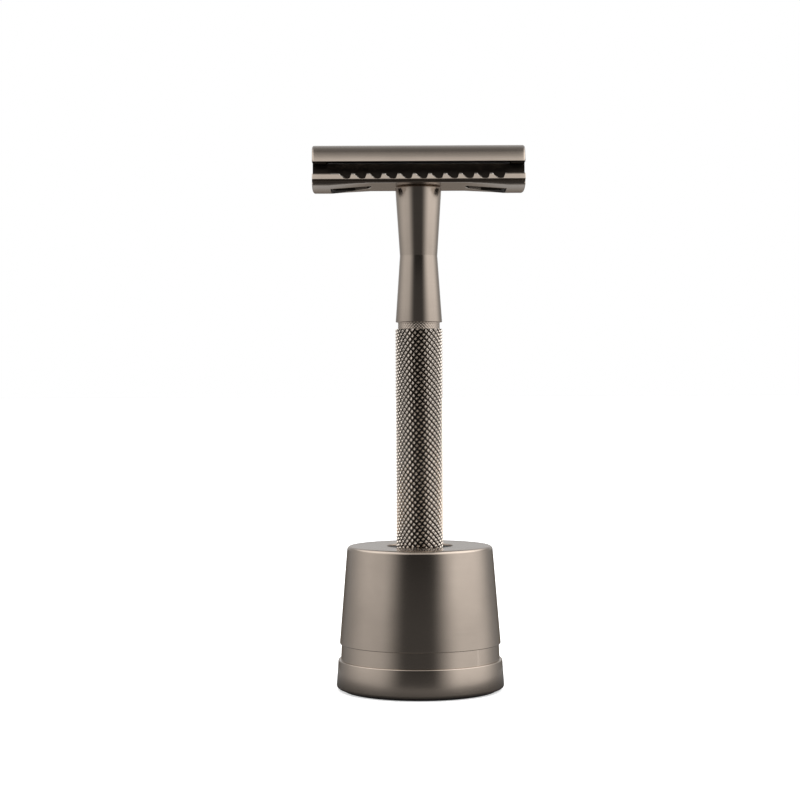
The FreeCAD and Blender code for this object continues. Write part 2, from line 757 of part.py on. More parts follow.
# Blind holes that hold the stud and the pins.
sk = new_sketch(cap, "XY_Plane", "seat_circles", 3)
circle(sk, 0, 0, "stud_rad+0.01")
circle(sk, "pin_x", 0, "pin_rad+0.01")
circle(sk, "-pin_x", 0, "pin_rad+0.01")
pocket(cap, sk, 4.2, "seats", reverse=True)
round_edges(
    cap,
    lambda e: all(abs(v.Point.x) > 21.6 for v in e.Vertexes)
    and min(v.Point.z for v in e.Vertexes) > D["lip_z"] - 1e-6
    and max(abs(v.Point.y) for v in e.Vertexes) > 2.4
    and max(v.Point.z for v in e.Vertexes) > 6.0,
    0.3,
    "end_edges",
)

stud = new_body("cap_stud", "head_z")
revolve(
    stud,
    [
        (0, "stud_tip"),
        ("stud_rad-0.5", "stud_tip"),
        ("stud_rad", "stud_tip+0.5"),
        ("stud_rad", 7.18),
        (0, 7.18),
    ],
)
pins = []
for k, sx in enumerate((-1, 1)):
    pin = doc.addObject("Part::Cylinder", f"pin_blank_{k}")
    pin.setExpression("Radius", "dims.pin_rad")
    pin.setExpression("Height", "7.18 - dims.pin_tip")
    pin.setExpression("Placement.Base.x", f"{sx} * dims.pin_x")
    pin.setExpression("Placement.Base.z", "dims.head_z + dims.pin_tip")
    doc.recompute()
    edge = doc.addObject("Part::Chamfer", f"pin_{k}")
    edge.Base = pin
    low = [i for i, e in enumerate(pin.Shape.Edges, start=1) if isinstance(e.Curve, Part.Circle) and e.Curve.Center.z < D["head_z"] + D["pin_tip"] + 0.01]
    edge.Edges = [(i, 0.3, 0.3) for i in low]
    pins.append(edge)
pin_pair = doc.addObject("Part::Compound", "alignment_pins")
pin_pair.Label = "alignment_pins"
pin_pair.Links = pins
PARTS.append(pin_pair)
doc.recompute()

# ---------------------------------------------------------------- checks and files
for o in doc.Objects:
    if "Invalid" in o.State or "Error" in o.State:
        raise RuntimeError(f"{o.Label} is {o.State}")
for o in PARTS:
    s = o.Shape
    if s.isNull() or not s.isValid():
        raise RuntimeError(f"{o.Label} has no valid shape")
    b = s.BoundBox
    print(f"{o.Label:16s} solids {len(s.Solids)}  vol {s.Volume:9.2f}  x {b.XMin:.2f} {b.XMax:.2f}  y {b.YMin:.2f} {b.YMax:.2f}  z {b.ZMin:.2f} {b.ZMax:.2f}")
    s.exportStep(f"parts/{o.Label}.step")
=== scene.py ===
import math

import bmesh
import bpy
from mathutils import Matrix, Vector


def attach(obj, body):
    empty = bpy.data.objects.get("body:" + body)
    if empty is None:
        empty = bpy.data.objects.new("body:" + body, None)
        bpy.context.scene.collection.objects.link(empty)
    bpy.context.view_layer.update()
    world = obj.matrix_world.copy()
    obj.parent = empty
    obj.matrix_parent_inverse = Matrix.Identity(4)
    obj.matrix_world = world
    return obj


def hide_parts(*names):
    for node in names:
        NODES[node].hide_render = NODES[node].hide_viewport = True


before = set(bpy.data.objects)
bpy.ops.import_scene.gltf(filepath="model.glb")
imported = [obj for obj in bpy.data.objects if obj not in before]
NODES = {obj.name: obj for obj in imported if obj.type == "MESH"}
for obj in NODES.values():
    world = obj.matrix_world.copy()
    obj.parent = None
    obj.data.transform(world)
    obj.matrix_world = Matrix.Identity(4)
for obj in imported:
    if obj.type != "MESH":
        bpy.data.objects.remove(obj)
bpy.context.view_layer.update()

MM = 0.001
HEAD_Z = 104.95          # guard seat above the ground, mm
HANDLE_Z = 8.0           # handle foot above the ground, mm


# ------------------------------------------------------------------ mesh helpers
def add_object(name, bm, body, replaced=(), smooth=35.0):
    bmesh.ops.recalc_face_normals(bm, faces=bm.faces[:])
    limit = math.radians(smooth)
    for f in bm.faces:
        f.smooth = True
    for e in bm.edges:
        if len(e.link_faces) == 2:
            e.smooth = e.calc_face_angle(0.0) < limit
        else:
            e.smooth = False
    mesh = bpy.data.meshes.new(name)
    bm.to_mesh(mesh)
    bm.free()
    ob = bpy.data.objects.new(name, mesh)
    bpy.context.scene.collection.objects.link(ob)
    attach(ob, body)
    if replaced:
        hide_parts(*replaced)
    return ob


def rounded(points, default=0.0, steps=4):
    """A closed profile of (r, z[, fillet]) in mm with each corner that has a fillet rounded by an arc."""
    n = len(points)
    out = []
    for k in range(n):
        p = points[k]
        rad = p[2] if len(p) > 2 else default
        here = Vector((p[0], p[1]))
        if rad <= 0:
            out.append((here.x, here.y))
            continue
        a = Vector(points[k - 1][:2]) - here
        b = Vector(points[(k + 1) % n][:2]) - here
        la, lb = a.length, b.length
        a.normalize()
        b.normalize()
        angle = a.angle(b)
        if angle > math.radians(176):
            out.append((here.x, here.y))
            continue
        reach = min(rad / math.tan(angle / 2), 0.48 * la, 0.48 * lb)
        r = reach * math.tan(angle / 2)
        centre = here + (a + b).normalized() * (r / math.sin(angle / 2))
        s = here + a * reach - centre
        e = here + b * reach - centre
        sweep = math.atan2(s.x * e.y - s.y * e.x, s.dot(e))
        for i in range(steps + 1):
            t = sweep * i / steps
            out.append((centre.x + s.x * math.cos(t) - s.y * math.sin(t), centre.y + s.x * math.sin(t) + s.y * math.cos(t)))
    return out


def lathe(name, points, body, replaced=(), segs=192, steps=4, smooth=35.0, bm=None, keep=False):
    """Turns a closed (r, z) profile in mm round the Z axis. Points on the axis make one vertex."""
    prof = rounded(points, steps=steps)
    bm = bm or bmesh.new()
    rings = []
    for r, z in prof:
        if r < 1e-6:
            rings.append([bm.verts.new((0, 0, z * MM))])
        else:
            rings.append([bm.verts.new((r * MM * math.cos(2 * math.pi * k / segs), r * MM * math.sin(2 * math.pi * k / segs), z * MM)) for k in range(segs)])
    n = len(rings)
    for i in range(n):
        a, b = rings[i], rings[(i + 1) % n]
        if len(a) == 1 and len(b) == 1:
            continue
        for k in range(segs):
            k2 = (k + 1) % segs
            if len(a) == 1:
                bm.faces.new((a[0], b[k], b[k2]))
            elif len(b) == 1:
                bm.faces.new((a[k], b[0], a[k2]))
            else:
                bm.faces.new((a[k], b[k], b[k2], a[k2]))
    if keep:
        return bm
    return add_object(name, bm, body, replaced, smooth)


def loft_x(sections, bm=None):
    """Joins closed (y, z) loops, each at its own x, all with the same count, and closes both ends. All in mm."""
    bm = bm or bmesh.new()
    rings = [[bm.verts.new((x * MM, y * MM, z * MM)) for y, z in loop] for x, loop in sections]
    n = len(rings[0])
    for a, b in zip(rings, rings[1:]):
        for k in range(n):
            k2 = (k + 1) % n
            bm.faces.new((a[k], a[k2], b[k2], b[k]))
    bm.faces.new(rings[0])
    bm.faces.new(list(reversed(rings[-1])))
    return bm


def boolean(ob, cutter_bm, name="cut"):
    """Cuts a closed cutter out of an object's mesh for good."""
    mesh = bpy.data.meshes.new(name)
    bmesh.ops.recalc_face_normals(cutter_bm, faces=cutter_bm.faces[:])
    cutter_bm.to_mesh(mesh)
    cutter_bm.free()
    tool = bpy.data.objects.new(name, mesh)
    bpy.context.scene.collection.objects.link(tool)
    mod = ob.modifiers.new("cut", "BOOLEAN")
    mod.operation = "DIFFERENCE"
    mod.solver = "MANIFOLD"
    mod.object = tool
    bpy.context.view_layer.update()
    dg = bpy.context.evaluated_depsgraph_get()
    done = bpy.data.meshes.new_from_object(ob.evaluated_get(dg))
    ob.modifiers.remove(mod)
    old = ob.data
    ob.data = done
    done.name = old.name + "_done"
    bpy.data.objects.remove(tool)
    bpy.data.meshes.remove(mesh)
    return ob


def cylinder_bm(items, segs=64):
    bm = bmesh.new()
    for x, y, r, z0, z1 in items:
        lo = [bm.verts.new(((x + r * math.cos(2 * math.pi * k / segs)) * MM, (y + r * math.sin(2 * math.pi * k / segs)) * MM, z0 * MM)) for k in range(segs)]
        hi = [bm.verts.new(((x + r * math.cos(2 * math.pi * k / segs)) * MM, (y + r * math.sin(2 * math.pi * k / segs)) * MM, z1 * MM)) for k in range(segs)]
        for k in range(segs):
            k2 = (k + 1) % segs
            bm.faces.new((lo[k], lo[k2], hi[k2], hi[k]))
        bm.faces.new(list(reversed(lo)))
        bm.faces.new(hi)
    return bm


def resharpen(ob, smooth=35.0):
    bm = bmesh.new()
    bm.from_mesh(ob.data)
    limit = math.radians(smooth)
    for f in bm.faces:
        f.smooth = True
    for e in bm.edges:
        e.smooth = len(e.link_faces) == 2 and e.calc_face_angle(0.0) < limit
    bm.to_mesh(ob.data)
    bm.free()


def knurl_bm(r_peak, depth, z0, z1, starts_a, starts_b, period_a, period_b, sub=4, flat=0.12):
    """An open tube of diamond points between two heights in mm. Its edges run along the two families of grooves."""
    bm = bmesh.new()
    na, nb = starts_a * sub, starts_b * sub
    # phase a = starts_a*t + z/period_a, phase b = -starts_b*t + z/period_b, where t is the share of a turn
    det = starts_a / period_b + starts_b / period_a
    za, zb = z0 - 1.6, z1 + 1.6

    def place(i, j):
        a, b = i / sub, j / sub
        t = (a / period_b - b / period_a) / det
        z = (starts_b * a + starts_a * b) / det
        return t, z

    def height(i, j):
        ha = abs(((i / sub) % 1.0) * 2 - 1)
        hb = abs(((j / sub) % 1.0) * 2 - 1)
        h = min(1 - ha if False else ha, hb)
        return min(h, 1 - flat) / (1 - flat)

    verts = {}

    def vert(i, j):
        t, z = place(i, j)
        k = math.floor(t + 1e-9)
        key = (i - k * na, j + k * nb)
        v = verts.get(key)
        if v is None:
            t2, z2 = place(*key)
            r = r_peak - depth * (1 - height(*key))
            v = bm.verts.new((r * MM * math.cos(2 * math.pi * t2), r * MM * math.sin(2 * math.pi * t2), z2 * MM))
            verts[key] = v
        return v

    # corners of the strip 0 <= t < 1, za <= z <= zb, in phases
    a_min = math.floor(min(za / period_a, starts_a + za / period_a) * sub) - 2
    a_max = math.ceil((starts_a + zb / period_a) * sub) + 2
    for i in range(a_min, a_max):
        b_lo = (za - 3) / period_b - starts_b
        b_hi = (zb + 3) / period_b + 1
        for j in range(math.floor(b_lo * sub), math.ceil(b_hi * sub)):
            t, z = place(i + 0.5, j + 0.5)
            if not (0.000123 <= t < 1.000123 and za <= z <= zb):
                continue
            quad = [vert(i, j), vert(i + 1, j), vert(i + 1, j + 1), vert(i, j + 1)]
            if len(set(quad)) == 4:
                # split along the diagonal that follows the ridge or the valley
                h = [height(i, j), height(i + 1, j), height(i + 1, j + 1), height(i, j + 1)]
                if abs(h[0] - h[2]) < abs(h[1] - h[3]):
                    bm.faces.new((quad[0], quad[1], quad[2]))
                    bm.faces.new((quad[0], quad[2], quad[3]))
                else:
                    bm.faces.new((quad[0], quad[1], quad[3]))
                    bm.faces.new((quad[1], quad[2], quad[3]))
    for z, sign in ((z0, -1), (z1, 1)):
        geom = bm.verts[:] + bm.edges[:] + bm.faces[:]
        bmesh.ops.bisect_plane(bm, geom=geom, dist=1e-8, plane_co=(0, 0, z * MM), plane_no=(0, 0, sign), clear_outer=True)
    return bm


def close_tube(bm, z0, z1, r_land, r_bore, segs=96):
    """Adds a narrow turned land at both ends of a knurled tube and its bore, so that the piece is a closed solid."""
    inner = []
    for z, step in ((z0, -1), (z1, 1)):
        rim = [e for e in bm.edges if e.is_boundary and all(abs(v.co.z - z * MM) < 1e-7 for v in e.verts)]
        ring = [bm.verts.new((r_bore * MM * math.cos(2 * math.pi * k / segs), r_bore * MM * math.sin(2 * math.pi * k / segs), z * MM)) for k in range(segs)]
        edges = [bm.edges.new((ring[k], ring[(k + 1) % segs])) for k in range(segs)]
        bmesh.ops.triangle_fill(bm, edges=rim + edges, use_beauty=True)
        inner.append(ring)
    lo, hi = inner
    for k in range(segs):
        k2 = (k + 1) % segs
        bm.faces.new((lo[k], lo[k2], hi[k2], hi[k]))
    return bm


def thread_bm(r_top, r_root, pitch, z0, z1, segs=72, rows=10):
    """A solid right-handed screw thread between two heights in mm, its ends run out to the root."""
    bm = bmesh.new()
    count = int(math.ceil((z1 - z0) / pitch * rows))
    rings = []
    for j in range(count + 1):
        z = z0 + (z1 - z0) * j / count
        ring = []
        for k in range(segs):
            t = k / segs
            u = (z / pitch - t) % 1.0
            tri = abs(u * 2 - 1)                      # 0 at the crest, 1 at the root
            h = min(1.0, max(0.0, (1 - tri) * 1.35 - 0.12))
            fade = min(1.0, (z - z0) / (0.9 * pitch), (z1 - z) / (0.6 * pitch))
            r = r_root + (r_top - r_root) * h * max(0.0, fade)
            ring.append(bm.verts.new((r * MM * math.cos(2 * math.pi * t), r * MM * math.sin(2 * math.pi * t), z * MM)))
        rings.append(ring)
    for a, b in zip(rings, rings[1:]):
        for k in range(segs):
            k2 = (k + 1) % segs
            bm.faces.new((a[k], a[k2], b[k2], b[k]))
    return bm, rings


# ------------------------------------------------------------------ materials
def new_mat(name):
    mat = bpy.data.materials.new(name)
    mat.use_nodes = True
    nt = mat.node_tree
    nt.nodes.clear()
    out = nt.nodes.new("ShaderNodeOutputMaterial")
    bsdf = nt.nodes.new("ShaderNodeBsdfPrincipled")
    nt.links.new(bsdf.outputs[0], out.inputs["Surface"])
    return mat, nt, bsdf


def noise(nt, coord, scale, detail=3.0, rough=0.5, stretch=(1, 1, 1)):
    m = nt.nodes.new("ShaderNodeMapping")
    m.inputs["Scale"].default_value = stretch
    nt.links.new(coord, m.inputs["Vector"])
    n = nt.nodes.new("ShaderNodeTexNoise")
    n.inputs["Scale"].default_value = scale
    n.inputs["Detail"].default_value = detail
    n.inputs["Roughness"].default_value = rough
    nt.links.new(m.outputs[0], n.inputs["Vector"])
    return n.outputs["Fac"]


def ramp(nt, fac, stops):
    r = nt.nodes.new("ShaderNodeValToRGB")
    r.color_ramp.elements[0].position = stops[0][0]
    r.color_ramp.elements[0].color = (*stops[0][1], 1)
    r.color_ramp.elements[1].position = stops[-1][0]
    r.color_ramp.elements[1].color = (*stops[-1][1], 1)
    for pos, col in stops[1:-1]:
        e = r.color_ramp.elements.new(pos)
        e.color = (*col, 1)
    nt.links.new(fac, r.inputs[0])
    return r.outputs[0]


def to_range(nt, fac, lo, hi, a=0.3, b=0.7):
    r = nt.nodes.new("ShaderNodeMapRange")
    r.inputs["From Min"].default_value = a
    r.inputs["From Max"].default_value = b
    r.inputs["To Min"].default_value = lo
    r.inputs["To Max"].default_value = hi
    nt.links.new(fac, r.inputs["Value"])
    return r.outputs[0]


def bump(nt, height, strength, distance, normal=None):
    b = nt.nodes.new("ShaderNodeBump")
    b.inputs["Strength"].default_value = strength
    b.inputs["Distance"].default_value = distance
    nt.links.new(height, b.inputs["Height"])
    if normal is not None:
        nt.links.new(normal, b.inputs["Normal"])
    return b.outputs[0]


def mix_col(nt, fac, a, b, kind="MIX"):
    m = nt.nodes.new("ShaderNodeMix")
    m.data_type = "RGBA"
    m.blend_type = kind
    if isinstance(fac, float):
        m.inputs[0].default_value = fac
    else:
        nt.links.new(fac, m.inputs[0])
    for s, v in ((m.inputs[6], a), (m.inputs[7], b)):
        if isinstance(v, tuple):
            s.default_value = (*v, 1)
        else:
            nt.links.new(v, s)
    return m.outputs[2]


def satin_metal(name, color, rough=(0.2, 0.24), grain=(1, 1, 60), grain_depth=0.000002, grain_scale=900.0, blast=0.0000007, wear=0.18, tone=0.05, painted_groove_shade=None):
    """Anodised satin metal: fine turned or drawn lines, a blasted grain, a faintly cloudy tone and polished edges."""
    mat, nt, b = new_mat(name)
    tc = nt.nodes.new("ShaderNodeTexCoord").outputs["Object"]
    cloud = noise(nt, tc, 120.0, 4.0, 0.55)
    fine = noise(nt, tc, 9000.0, 2.0, 0.6)
    lines = noise(nt, tc, grain_scale, 3.0, 0.6, grain)
    dark = tuple(c * (1 - tone) for c in color)
    light = tuple(min(1.0, c * (1 + tone)) for c in color)
    col = ramp(nt, cloud, [(0.3, dark), (0.7, light)])
    col = mix_col(nt, to_range(nt, lines, 0.0, 0.12, 0.4, 0.7), col, tuple(min(1.0, c * 1.15) for c in color))
    geo = nt.nodes.new("ShaderNodeNewGeometry")
    edge = to_range(nt, geo.outputs["Pointiness"], 0.0, wear, 0.53, 0.62)
    col = mix_col(nt, edge, col, tuple(min(1.0, c * 1.4 + 0.05) for c in color))
    if painted_groove_shade:
        # painted shade in the grooves of the knurl: the surface nearer the handle's axis is mixed towards near-black
        flat_xy = nt.nodes.new("ShaderNodeVectorMath")
        flat_xy.operation = "MULTIPLY"
        flat_xy.inputs[1].default_value = (1000.0, 1000.0, 0.0)
        nt.links.new(tc, flat_xy.inputs[0])
        away = nt.nodes.new("ShaderNodeVectorMath")
        away.operation = "LENGTH"
        nt.links.new(flat_xy.outputs[0], away.inputs[0])
        col = mix_col(nt, to_range(nt, away.outputs["Value"], 1.0, 0.0, painted_groove_shade[0], painted_groove_shade[1]), col, (0.05, 0.04, 0.033))
    nt.links.new(col, b.inputs["Base Color"])
    b.inputs["Metallic"].default_value = 1.0
    nt.links.new(to_range(nt, fine, rough[0], rough[1], 0.3, 0.7), b.inputs["Roughness"])
    n1 = bump(nt, lines, 0.25, grain_depth)
    n2 = bump(nt, fine, 0.25, blast, n1)
    nt.links.new(n2, b.inputs["Normal"])
    return mat


GUN = (0.46, 0.39, 0.33)
mat_body = satin_metal("gunmetal_turned", GUN, rough=(0.17, 0.22), grain=(0.02, 0.02, 1.0), grain_scale=5200.0)
mat_neck = satin_metal("gunmetal_neck", GUN, rough=(0.13, 0.17), grain=(0.02, 0.02, 1.0), grain_scale=6000.0)
mat_head = satin_metal("gunmetal_cap", GUN, rough=(0.19, 0.25), grain=(0.02, 1.0, 1.0), grain_scale=5200.0)
mat_guard = satin_metal("gunmetal_guard", GUN, rough=(0.17, 0.22), grain=(0.05, 1, 1), grain_scale=4200.0)
# the knurl's base colour is lighter than the gunmetal: a painted highlight on its points
mat_knurl = satin_metal("gunmetal_knurled", (0.77, 0.69, 0.61), rough=(0.12, 0.17), grain=(1, 1, 1), grain_scale=3000.0, painted_groove_shade=(4.61, 4.76), wear=0.0)
# near-black gunmetal: painted shade for the channel behind the guard's bars, the pockets under its ends and the cap's
# underside
mat_painted_shade = satin_metal("gunmetal_painted_shade", (0.075, 0.062, 0.052), rough=(0.30, 0.38), grain=(1, 1, 1), grain_scale=3000.0, wear=0.0)
mat_collar = satin_metal("gunmetal_collar", GUN, rough=(0.18, 0.24), grain=(1, 1, 1), grain_scale=3000.0)
# lighter gunmetal for the scallop bevels: a painted highlight along their rims
mat_rim_highlight = satin_metal("gunmetal_painted_rim_highlight", (0.80, 0.74, 0.67), rough=(0.14, 0.18), grain=(0.05, 1, 1), grain_scale=4200.0)


def plain_mat(name, color, metallic, rough, scale, depth, vary=0.12, stretch=(1, 1, 1), spec=None):
    mat, nt, b = new_mat(name)
    tc = nt.nodes.new("ShaderNodeTexCoord").outputs["Object"]
    n = noise(nt, tc, scale, 4.0, 0.6, stretch)
    cloud = noise(nt, tc, scale * 0.06, 3.0, 0.5)
    col = ramp(nt, cloud, [(0.3, tuple(c * (1 - vary) for c in color)), (0.7, tuple(min(1, c * (1 + vary)) for c in color))])
    nt.links.new(col, b.inputs["Base Color"])
    b.inputs["Metallic"].default_value = metallic
    if spec is not None:
        b.inputs["Specular IOR Level"].default_value = spec
    nt.links.new(to_range(nt, n, rough[0], rough[1]), b.inputs["Roughness"])
    nt.links.new(bump(nt, n, 0.4, depth), b.inputs["Normal"])
    return mat


mat_steel = plain_mat("turned_steel", (0.56, 0.55, 0.53), 1.0, (0.22, 0.36), 900.0, 0.00001, stretch=(0.6, 0.6, 8))
mat_ballast = plain_mat("blackened_steel", (0.10, 0.10, 0.105), 0.9, (0.45, 0.65), 700.0, 0.00003)
mat_brass = plain_mat("machined_brass", (0.72, 0.52, 0.24), 1.0, (0.24, 0.38), 900.0, 0.00001, stretch=(0.6, 0.6, 8))
mat_plastic = plain_mat("black_moulding", (0.012, 0.012, 0.013), 0.0, (0.45, 0.6), 2600.0, 0.00002)
mat_rubber = plain_mat("black_rubber", (0.014, 0.014, 0.014), 0.0, (0.65, 0.85), 1900.0, 0.00004, spec=0.35)
mat_felt = plain_mat("black_felt", (0.02, 0.02, 0.022), 0.0, (0.9, 1.0), 3800.0, 0.0002, vary=0.3, spec=0.2)
mat_blade = plain_mat("ground_blade_steel", (0.66, 0.66, 0.66), 1.0, (0.16, 0.28), 500.0, 0.000006, vary=0.05, stretch=(0.3, 12, 12))


def paint(ob, mat):
    ob.data.materials.clear()
    ob.data.materials.append(mat)


# ------------------------------------------------------------------ the stand
o = lathe(
    "stand_body_turned",
    [
        (6.85, 30.0, 0.22), (15.15, 30.0, 0.8), (16.8, 9.7, 0.14), (14.52, 9.7), (14.52, 13.0), (6.85, 13.0),
    ],
    "stand", ["stand_body"], segs=256, steps=6,
)
paint(o, mat_body)
o = lathe(
    "stand_base_turned",
    [
        (16.25, 0.5), (17.52, 0.5, 1.15), (17.12, 6.4, 0.22), (16.57, 6.4), (16.42, 9.7), (14.5, 9.7), (14.5, 12.9),
        (13.2, 12.9), (13.2, 2.2), (15.0, 2.2), (15.0, 1.2), (16.25, 1.2),
    ],
    "stand", ["stand_base"], segs=256, steps=6,
)
paint(o, mat_body)
o = lathe(
    "socket_liner_moulded",
    [(0, 6.35), (6.8, 6.35), (6.8, 29.6, 0.15), (5.35, 29.6, 0.35), (5.35, 7.35), (0, 7.35)],
    "stand", ["socket_liner"], segs=128,
)
paint(o, mat_plastic)
o = lathe(
    "foot_pad_rubber",
    [(0, 0), (16.2, 0, 0.28), (16.2, 1.2), (0, 1.2)],
    "stand", ["foot_pad"], segs=192,
)
paint(o, mat_rubber)

# ------------------------------------------------------------------ the handle
H = HANDLE_Z
o = lathe(
    "end_cap_turned",
    [
        (0, H), (4.9, H, 0.85), (4.9, H + 5.0, 0.15), (3.55, H + 5.0), (3.55, H + 6.2), (2.98, H + 6.2), (2.98, H + 6.9),
        (3.55, H + 6.9), (3.55, H + 8.2), (2.05, H + 8.2), (2.05, H + 1.8), (0, H + 1.8),
    ],
    "handle", ["end_cap"], segs=160,
)
paint(o, mat_neck)

bm = knurl_bm(5.015, 0.44, H + 5.02, H + 67.2, 22, 28, 1.216, 1.398, flat=0.08)
close_tube(bm, H + 5.02, H + 67.2, 4.7, 3.6)
o = add_object("grip_sleeve_knurled", bm, "handle", ["grip_sleeve"], smooth=12.0)
paint(o, mat_knurl)

bm = knurl_bm(4.38, 0.06, H + 67.21, H + 68.6, 44, 44, 0.62, 0.62, sub=2, flat=0.1)
close_tube(bm, H + 67.21, H + 68.6, 4.2, 2.1)
o = add_object("collar_ring_textured", bm, "handle", ["collar_ring"], smooth=15.0)
paint(o, mat_collar)

o = lathe(
    "neck_turned",
    [
        (2.05, H + 68.61), (4.85, H + 68.61, 0.16), (3.91, H + 82.5, 0.6), (4.82, H + 96.62, 0.1), (4.57, H + 96.9, 0.05), (3.22, H + 96.9),
        (3.22, H + 88.9), (2.7, H + 88.9), (2.7, H + 88.1), (0, H + 87.3), (0, H + 75.6), (2.05, H + 75.2),
    ],
    "handle", ["neck"], segs=192,
)
paint(o, mat_neck)


# ------------------------------------------------------------------ the guard
PITCH = 3.13


def scallop_depth(u):
    """How far the bar's top is cut down at u mm from a scallop's middle, as a share of the bar. Long slope, round foot, steep flank."""
    if u < -1.55 or u > 1.06:
        return 0.0
    pts = [(-1.55, 0.0), (-1.36, 0.07), (-0.62, 0.62), (-0.34, 0.80), (0.0, 0.90), (0.32, 0.91), (0.60, 0.82), (0.80, 0.62), (0.94, 0.28), (1.06, 0.0)]
    for (x0, y0), (x1, y1) in zip(pts, pts[1:]):
        if x0 <= u <= x1:
            t = (u - x0) / (x1 - x0)
            return y0 + (y1 - y0) * t
    return 0.0


SCALLOP_SHIFT = 0.86


def bar_cut(x, sign):
    best = 0.0
    for k in range(-5, 6):
        best = max(best, scallop_depth(sign * x - (k * PITCH + SCALLOP_SHIFT)))
    return best


def swell(x):
    """How far the rounded belly has grown at x: 0 in the middle, 1 at both ends."""
    return min(1.0, max(0.0, (abs(x) - 9.6) / 8.6))


def trough(x):
    """Half widths in mm of the shallow trough and of the deep pocket in it, and the pocket's depth."""
    ax = abs(x)
    f = swell(x)
    if not 9.9 < ax < 18.2:
        return 0.0, 0.0, 0.0
    low, side = -0.02 - 1.08 * f, -0.01 - 0.41 * f
    k = (side - low) / 9.45 ** 2
    rim = math.sqrt((0.15 - low) / (0.0427 + k))
    if ax < 11.4:
        w = 1.2 + 1.7 * (1 - ((11.4 - ax) / 1.5) ** 2)
    elif ax < 13.4:
        w = 2.9 + 0.7 * (1 - ((13.4 - ax) / 2.0) ** 2)
    elif ax < 17.4:
        w = 3.6
    elif ax < 18.0:
        w = 3.6 - (ax - 17.4)
    else:
        w = 0.0
    w = min(w, rim - 0.12)
    return rim, w, min(1.0, (18.0 - ax) / 0.05 if ax < 18.0 else 0.0, (ax - 9.9) / 0.2)


def under(x, y):
    f = swell(x)
    low, side = -0.02 - 1.08 * f, -0.01 - 0.41 * f
    return low + (side - low) * (y / 9.45) ** 2


def guard_section(x, inset=0.0):
    k = inset
    rim, w, deep = trough(x)
    e = 0.09                                   # edge rounding
    half = []
    # underside from the middle line outwards: pocket, trough, belly
    rim = max(rim, 0.06)
    w = max(w, 0.03)
    floor_z = lambda y: min(0.15 - 0.0427 * y * y, 9) if rim > 0.1 else under(x, y)
    z_in = floor_z(w) + (0.85 - floor_z(w)) * deep if rim > 0.1 else under(x, w)
    half += [(0.0, z_in), (w * 0.97, z_in), (w, floor_z(w))]
    for t in (0.25, 0.5, 0.75):
        y = w + (rim - w) * t
        half.append((y, floor_z(y)))
    half.append((rim - 0.02, floor_z(rim - 0.02)))
    half.append((rim + 0.02, under(x, rim + 0.02)))
    for t in (0.16, 0.34, 0.52, 0.70, 0.86):
        y = rim + (9.45 - e * 3.4 - rim) * t
        half.append((y, under(x, y)))
    half += [(9.45 - e * 3.4, under(x, 9.45 - e * 3.4)), (9.45 - e * 1.9, under(x, 9.45) + 0.02), (9.45 - e * 0.7, under(x, 9.45) + 0.055)]
    half = [(y - (k if y > 6 else 0.0), z + (k if z < 0.3 else 0.0)) for y, z in half]
    right = [(9.45 - k, min(0.0, under(x, 9.45) + 0.13) + min(k, 0.05)), (9.45 - k, 0.0), (9.42 - k, 0.055), (8.5, 0.06), (8.42, 0.12), (8.42, 0.44), (8.5, 0.5)]
    bottom = [(-y, z) for y, z in reversed(half[1:])] + half
    return bottom, right


def guard_ring(x, inset=0.0):
    loop, right = guard_section(x, inset)
    k = inset

    def bar(sign):
        cut = bar_cut(x, -sign)
        hi = 1.7 - 1.2 * cut - k
        hi = max(hi, 0.62)
        lean = lambda z: 11.95 - 0.4 * (z - 0.5) / 1.2
        r = 0.10
        rim = min(0.22, (hi - 0.55) * 0.6)
        pts = [
            (11.86 - k, 0.5 + k),
            (lean(0.55) - k, 0.55 + k * 0.5),
            (lean(hi - rim) - k, hi - rim),
            (lean(hi) - k - 0.18, hi),
            (lean(hi) - k - 0.18 - r * 0.8, hi + 0.001),
            (10.85 + r, hi),
            (10.85 + 0.03, hi - r * 0.35),
            (10.85, hi - r),
            (10.85, min(0.85, hi - r - 0.01)),
            (10.55, min(0.85, hi - r + 0.02) if hi < 0.9 else 0.85),
        ]
        return pts

    deck = [(8.66, 0.85), (8.6, 0.93), (8.2, 4.2), (8.1, 4.34), (7.4, 4.494), (6.8, 4.25), (0.0, 4.9)]
    if abs(x) > 21.6:
        deck = [(y, 0.85) for y, z in deck]
    full = list(loop) + right + bar(1)
    full += [(y, z) for y, z in deck]
    full += [(-y, z) for y, z in reversed(deck[:-1])] + [(-y, z) for y, z in reversed(bar(-1))] + [(-y, z) for y, z in reversed(right)]
    return [(y, z + HEAD_Z) for y, z in full]


def stations():
    xs = set()
    for s in (-1, 1):
        for k in range(-5, 6):
            c = k * PITCH + SCALLOP_SHIFT
            for u in (-1.55, -1.46, -1.36, -1.1, -0.85, -0.62, -0.48, -0.34, -0.17, 0.0, 0.16, 0.32, 0.46, 0.60, 0.70, 0.80, 0.87, 0.94, 1.0, 1.06):
                xs.add(round(s * (c + u), 3))
    x = -21.0
    while x <= 21.0:
        xs.add(round(x, 3))
        x += 0.5
    for v in (18.21, 18.19, 18.0, 17.94, 17.7, 17.4, 13.4, 11.4, 10.6, 10.1, 9.93, 9.88, 9.6):
        xs.add(v)
        xs.add(-v)
    xs = sorted(v for v in xs if abs(v) <= 21.55)
    clean = [xs[0]]
    for v in xs[1:]:
        if v - clean[-1] > 0.012:
            clean.append(v)
    return clean


def bow(bm, start, corner_y, gain, middle, limit):
    """Stretches both ends of the head along X so that they're longest at the middle line."""
    for v in bm.verts:
        x, y = v.co.x / MM, v.co.y / MM
        a = (abs(x) - start) / (limit - start)
        if a <= 0:
            continue
        end = middle - gain * (y / corner_y) ** 2
        v.co.x = math.copysign((start + (end - start) * a), x) * MM


